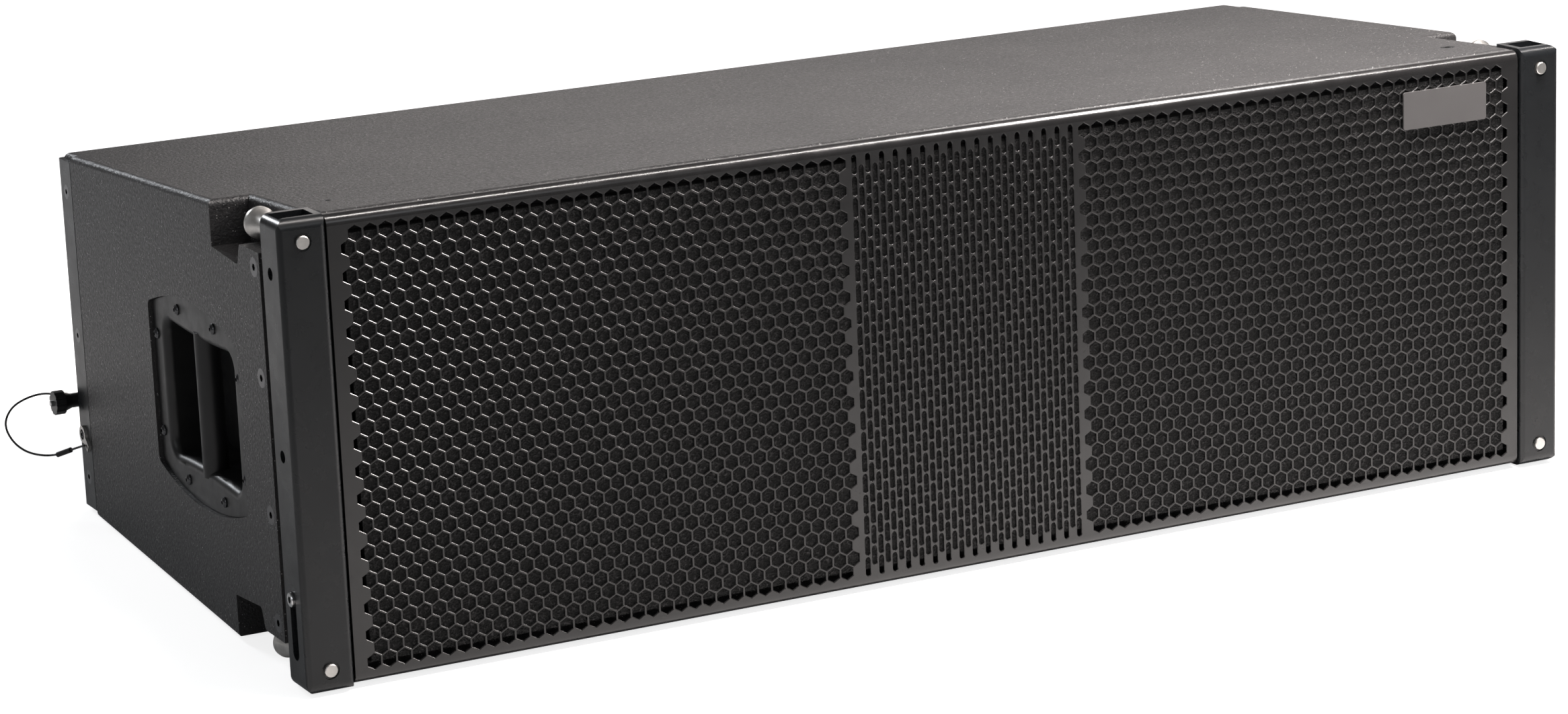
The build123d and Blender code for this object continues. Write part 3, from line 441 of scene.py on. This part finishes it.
# Eased hole edges: how far outside the hole's wall, and how far behind the sheet's face
EASED = ((0.55, 0.0), (0.43, 0.04), (0.04, 0.43), (0.0, 0.55))


def hexagon(cx, cz, grow):
    """Pointed-top hexagonal hole, grown outward by that much."""
    r = (HEX_FLAT / 2 + grow) / math.cos(math.pi / 6)
    return [
        (cx - r * math.sin(k * math.pi / 3), cz + r * math.cos(k * math.pi / 3)) for k in range(6)
    ]


def slot_hole(cx, cz, grow):
    """Upright slot with rounded ends, grown outward by that much."""
    r = SLOT_WIDTH / 2 + grow
    straight = (SLOT_HEIGHT - SLOT_WIDTH) / 2
    points = []
    for end in (1, -1):
        for k in range(SLOT_END_STEPS + 1):
            a = math.pi * k / SLOT_END_STEPS
            points.append((cx + end * r * math.cos(a), cz + end * (straight + r * math.sin(a))))
    return points


def grille_holes(grow):
    """Every hole in the grille sheet, in millimetres across and above mid-height."""
    holes = []
    for s in (-1, 1):
        for i in range(ROWS):
            z = (ROWS / 2 - 0.5 - i) * ROW
            shift = PITCH / 2 if i % 2 == 0 else 0.0
            for j in range(PER_ROW):
                holes.append(hexagon(s * (HEX_OUTER - shift - PITCH * j), z, grow))
    for k in range(-SLOT_COLUMNS_EACH_SIDE, SLOT_COLUMNS_EACH_SIDE + 1):
        count = SLOTS_PER_COLUMN - k % 2
        for j in range(count):
            z = ((count - 1) / 2 - j) * SLOT_PITCH
            holes.append(slot_hole(k * SLOT_COLUMN_PITCH, z, grow))
    return holes


def perforated(b, y, w, grow):
    """Flat sheet with the holes, at that depth; returns the hole outlines' vertices."""
    holes = grille_holes(grow)
    h = HALF_H - BEND
    points = [(-w, -h), (w, -h), (w, h), (-w, h)]
    edges = [(0, 1), (1, 2), (2, 3), (3, 0)]
    loops = []
    for hole in holes:
        loops.append(list(range(len(points), len(points) + len(hole))))
        points += hole
    flat, _, faces, origins, _, inside = geometry.delaunay_2d_cdt(
        [Vector(p) for p in points], edges, loops, 0, 1e-5
    )
    made = [b.verts.new(at(p.x, y, p.y)) for p in flat]
    for f, holes_over in zip(faces, inside):
        if not holes_over:
            b.faces.new([made[k] for k in f])
    vertex_of = {k: made[n] for n, sources in enumerate(origins) for k in sources}
    return [[vertex_of[k] for k in loop] for loop in loops]


def band(b, one, two):
    """Faces between two closed loops of as many vertices."""
    for k in range(len(one)):
        n = (k + 1) % len(one)
        b.faces.new((one[k], one[n], two[n], two[k]))


def pan_profile(b, x, inset):
    """Vertices down one end of the pan, from its upper back edge round to its lower one."""
    arc = [math.pi / 2 * k / BEND_STEPS for k in range(BEND_STEPS + 1)]
    radius = BEND - inset
    half = HALF_H - BEND
    upper = [(FACE_Y + BEND - radius * math.sin(a), half + radius * math.cos(a)) for a in arc]
    rim = (FACE_Y + FLANGE, HALF_H - inset)
    upper = [rim, *upper]
    return [b.verts.new(at(x, y, z)) for y, z in upper + [(y, -z) for y, z in reversed(upper)]]


def build_grille():
    """Punched sheet with eased hole edges, bent over along its top and bottom."""
    b = bmesh.new()
    front = perforated(b, FACE_Y, HALF_W, EASED[0][0])
    rear = perforated(b, FACE_Y + SHEET, HALF_W - SHEET, 0.0)
    middles = [
        [[b.verts.new(at(x, FACE_Y + deep, z)) for x, z in hole] for hole in grille_holes(grow)]
        for grow, deep in EASED[1:]
    ]
    for loops in zip(front, *middles, rear):
        for one, two in zip(loops, loops[1:]):
            band(b, one, two)
    ends = {}
    for inset in (0.0, SHEET):
        for s in (-1, 1):
            ends[inset, s] = pan_profile(b, s * (HALF_W - inset), inset)
            b.faces.new(ends[inset, s])
        one, two = ends[inset, -1], ends[inset, 1]
        punched = len(one) // 2 - 1
        for k in range(len(one) - 1):
            if k != punched:
                b.faces.new((one[k], one[k + 1], two[k + 1], two[k]))
    rims = [
        [ends[inset, -1][0], ends[inset, 1][0], ends[inset, 1][-1], ends[inset, -1][-1]]
        for inset in (0.0, SHEET)
    ]
    band(b, *rims)
    bmesh.ops.remove_doubles(b, verts=b.verts, dist=1e-6)
    bmesh.ops.dissolve_degenerate(b, dist=1e-7, edges=b.edges)
    bmesh.ops.recalc_face_normals(b, faces=b.faces)
    # Only the long strips of the bends are shaded smooth
    for f in b.faces:
        f.smooth = len(f.verts) == 4 and f.calc_area() > 1e-4
    for e in b.edges:
        e.smooth = all(f.smooth for f in e.link_faces)
    mesh = bpy.data.meshes.new("grille_sheet")
    b.to_mesh(mesh)
    b.free()
    obj = link(mesh, "grille_sheet", GRILLE)
    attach(obj, "cabinet")
    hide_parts("grille")


build_grille()

# ---- Floor and light --------------------------------------------------------------------------

# The sloping underside rests on the floor along two lines, in millimetres behind the post faces
FRONT_REST, REAR_REST = 35.0, 496.0
UNDERSIDE_RISE = 28.0 * REAR_REST / 500.0
TILT = math.atan(UNDERSIDE_RISE / (REAR_REST - FRONT_REST))
FLOOR_REACH = 9.0
# Seen by the camera the floor glows and the backdrop is white; the room itself is dim
FLOOR_GLOW = 0.8
ROOM_LIGHT = 0.1
BACKDROP_EXTRA = 0.9

floor_mesh = bpy.data.meshes.new("floor")
b = bmesh.new()
for x, y in ((-1, -1), (1, -1), (1, 1), (-1, 1)):
    b.verts.new((x * FLOOR_REACH, y * FLOOR_REACH, 0))
b.faces.new(b.verts)
b.to_mesh(floor_mesh)
b.free()
floor_look, tree, shader, where = material("floor", (0.86, 0.86, 0.86), 0.7)
mixed(tree, noise(tree, where, 3, 3), 0.85, 0.87, shader.inputs["Base Color"])
seen = tree.nodes.new("ShaderNodeLightPath").outputs["Is Camera Ray"]
shader.inputs["Emission Color"].default_value = (1, 1, 1, 1)
glow = arithmetic(tree, "MULTIPLY", seen, FLOOR_GLOW)
tree.links.new(glow, shader.inputs["Emission Strength"])
floor = link(floor_mesh, "floor", floor_look)
floor.location = at(0, FRONT_REST, -MID * 1000)
floor.rotation_euler = (TILT, 0, 0)

world = bpy.data.worlds.new("studio")
SCENE.world = world
world.use_nodes = True
tree = world.node_tree
backdrop = tree.nodes["Background"]
backdrop.inputs["Color"].default_value = (1, 1, 1, 1)
seen = tree.nodes.new("ShaderNodeLightPath").outputs["Is Camera Ray"]
glow = arithmetic(tree, "MULTIPLY", seen, BACKDROP_EXTRA)
tree.links.new(arithmetic(tree, "ADD", glow, ROOM_LIGHT), backdrop.inputs["Strength"])


def softbox(name, place, target, size, power, color):
    """A rectangular area light, sized in metres and in watts, that the camera does not see."""
    data = bpy.data.lights.new(name, "AREA")
    data.shape = "RECTANGLE"
    data.size, data.size_y = size
    data.energy = power
    data.color = color
    obj = bpy.data.objects.new(name, data)
    SCENE.collection.objects.link(obj)
    obj.location = place
    obj.rotation_mode = "QUATERNION"
    obj.rotation_quaternion = (Vector(target) - Vector(place)).to_track_quat("-Z", "Y")
    obj.visible_camera = False


WARM = (1.0, 0.94, 0.91)
COOL = (0.93, 0.96, 1.0)
softbox("key", (0.55, -0.4, 1.05), (0.3, -0.15, 0.2), (0.28, 0.22), 15, WARM)
softbox("strip", (0.52, -0.45, 1.3), (0.52, -0.2, 0.3), (1.9, 0.06), 20, WARM)
softbox("back", (1.6, 2.4, 1.5), (0, 0, 0.3), (2.6, 1.0), 12, WARM)
softbox("rim", (-1.05, 2.3, 1.35), (-0.56, 0, 0.2), (0.4, 0.3), 15, COOL)
softbox("front", (0.2, -3.4, 2.2), (0, 0, 0.2), (2.0, 1.2), 8, COOL)
softbox("left", (-2.8, -0.8, 1.2), (-0.4, 0, 0.2), (1.0, 1.6), 5, COOL)
